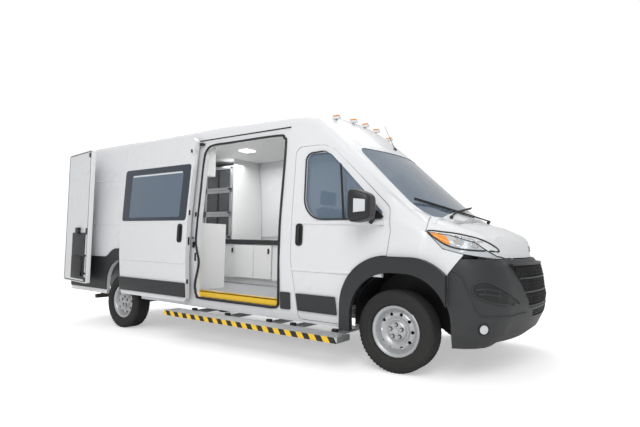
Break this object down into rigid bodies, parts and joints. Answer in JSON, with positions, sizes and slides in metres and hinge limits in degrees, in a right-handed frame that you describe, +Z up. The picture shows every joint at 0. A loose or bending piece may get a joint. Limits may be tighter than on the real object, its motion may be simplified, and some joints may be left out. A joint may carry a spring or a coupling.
{
  "type": "mobile clinic",
  "caption": "Long high-roof panel van fitted out as a walk-in clinic, with a sliding side door, side step, twin rear doors, cabinets and locker rack.",
  "frame": {"origin": "on the ground, midway along the overall length and width", "axes": "+X forward, +Y to the vehicle's left, +Z up"},
  "size_m": [6.4502, 2.5826, 2.6408],
  "materials": {
    "aluminium": "brushed",
    "black_plastic": "matte",
    "black_top": "satin",
    "cast_iron": "matte",
    "chassis_steel": "satin",
    "dark_plastic": "matte",
    "laminate": "satin",
    "lamp_lens": "polished",
    "red_lens": "polished",
    "seat_fabric": "matte",
    "tinted_glass": "polished",
    "tyre": "matte",
    "vinyl_floor": "satin",
    "wheel_silver": "satin",
    "white_paint": "gloss",
    "yellow_paint": "gloss"
  },
  "bodies": {
    "body": {"arch_flares": "dark_plastic", "base_cabinet": "laminate", "cab_frame": "white_paint", "countertop": "black_top", "dashboard": "dark_plastic", "driver_seat": "seat_fabric", "engine": "cast_iron", "exhaust": "chassis_steel", "floor_pan": "vinyl_floor", "front_bumper": "dark_plastic", "front_fenders": "white_paint", "fuel_tank": "black_plastic", "grab_bar": "yellow_paint", "grille": "black_plastic", "half_partition": "laminate", "headlights": "lamp_lens", "left_side_panel": "white_paint", "locker_rack": "aluminium", "overhead_cabinet": "laminate", "passenger_seat": "seat_fabric", "rear_axle": "chassis_steel", "rear_frame": "white_paint", "right_side_panel": "white_paint", "roof_panel": "white_paint", "side_mouldings": "dark_plastic", "side_step": "aluminium", "sliding_door": "white_paint", "sliding_door_window": "tinted_glass", "tail_lights": "red_lens", "tall_cabinet": "laminate", "tow_hitch": "chassis_steel", "wheel_liners": "black_plastic", "windscreen": "tinted_glass"},
    "hood": {"hood": "white_paint"},
    "front_right_door": {"front_right_door": "white_paint", "front_right_window": "tinted_glass", "right_mirror": "black_plastic"},
    "front_left_door": {"front_left_door": "white_paint", "front_left_window": "tinted_glass", "left_mirror": "black_plastic"},
    "rear_right_door": {"rear_right_door": "white_paint"},
    "rear_left_door": {"rear_left_door": "white_paint"},
    "front_right_knuckle": {"front_right_knuckle": "chassis_steel"},
    "front_left_knuckle": {"front_left_knuckle": "chassis_steel"},
    "front_right_wheel": {"front_right_tyre": "tyre", "front_right_rim": "wheel_silver"},
    "front_left_wheel": {"front_left_tyre": "tyre", "front_left_rim": "wheel_silver"},
    "rear_right_wheel": {"rear_right_tyre": "tyre", "rear_right_rim": "wheel_silver"},
    "rear_left_wheel": {"rear_left_tyre": "tyre", "rear_left_rim": "wheel_silver"},
    "steering_wheel": {"steering_wheel": "black_plastic"},
    "right_cabinet_door": {"right_cabinet_door": "laminate"},
    "left_cabinet_door": {"left_cabinet_door": "laminate"}
  },
  "joints": [
    {"name": "right_steer", "type": "hinge", "parent": "body", "child": "front_right_knuckle", "pos_m": [2.21566, -0.835, 0.354], "axis": [0, 0, 1], "range_deg": [-35, 35]},
    {"name": "front_right_spin", "type": "hinge", "parent": "front_right_knuckle", "child": "front_right_wheel", "pos_m": [2.21566, -0.905, 0.354], "axis": [0, 1, 0], "continuous": true},
    {"name": "rear_right_spin", "type": "hinge", "parent": "body", "child": "rear_right_wheel", "pos_m": [-1.81934, -0.905, 0.354], "axis": [0, 1, 0], "continuous": true},
    {"name": "left_steer", "type": "hinge", "parent": "body", "child": "front_left_knuckle", "pos_m": [2.21566, 0.835, 0.354], "axis": [0, 0, 1], "range_deg": [-35, 35]},
    {"name": "front_left_spin", "type": "hinge", "parent": "front_left_knuckle", "child": "front_left_wheel", "pos_m": [2.21566, 0.905, 0.354], "axis": [0, 1, 0], "continuous": true},
    {"name": "rear_left_spin", "type": "hinge", "parent": "body", "child": "rear_left_wheel", "pos_m": [-1.81934, 0.905, 0.354], "axis": [0, 1, 0], "continuous": true},
    {"name": "hood_hinge", "type": "hinge", "parent": "body", "child": "hood", "pos_m": [2.49115, 0, 1.33229], "axis": [0, 1, 0], "range_deg": [-50, 0]},
    {"name": "right_door_hinge", "type": "hinge", "parent": "body", "child": "front_right_door", "pos_m": [2.17938, -1.036, 0.95006], "axis": [0.0253, 0, 0.9997], "range_deg": [0, 68]},
    {"name": "left_door_hinge", "type": "hinge", "parent": "body", "child": "front_left_door", "pos_m": [2.17938, 1.036, 0.95006], "axis": [0.0253, 0, 0.9997], "range_deg": [-68, 0]},
    {"name": "rear_right_hinge", "type": "hinge", "parent": "body", "child": "rear_right_door", "pos_m": [-3.25676, -0.925, 1.48779], "axis": [0.0253, 0, 0.9997], "range_deg": [-262, 0]},
    {"name": "rear_left_hinge", "type": "hinge", "parent": "body", "child": "rear_left_door", "pos_m": [-3.25676, 0.925, 1.48779], "axis": [0.0253, 0, 0.9997], "range_deg": [-262, 0]},
    {"name": "steering_turn", "type": "hinge", "parent": "body", "child": "steering_wheel", "pos_m": [1.89463, 0.42, 1.0823], "axis": [-0.4779, 0, 0.8784], "range_deg": [-560, 560]},
    {"name": "right_cabinet_hinge", "type": "hinge", "parent": "body", "child": "right_cabinet_door", "pos_m": [-0.20592, 0.192, 0.81037], "axis": [0.0253, 0, 0.9997], "range_deg": [0, 100]},
    {"name": "left_cabinet_hinge", "type": "hinge", "parent": "body", "child": "left_cabinet_door", "pos_m": [-0.8987, 0.192, 0.82791], "axis": [0.0253, 0, 0.9997], "range_deg": [-100, 0]}
  ],
  "couplings": [
    {"joint": "right_steer", "follows": "left_steer", "ratio": 1},
    {"joint": "steering_turn", "follows": "left_steer", "ratio": 15}
  ]
}
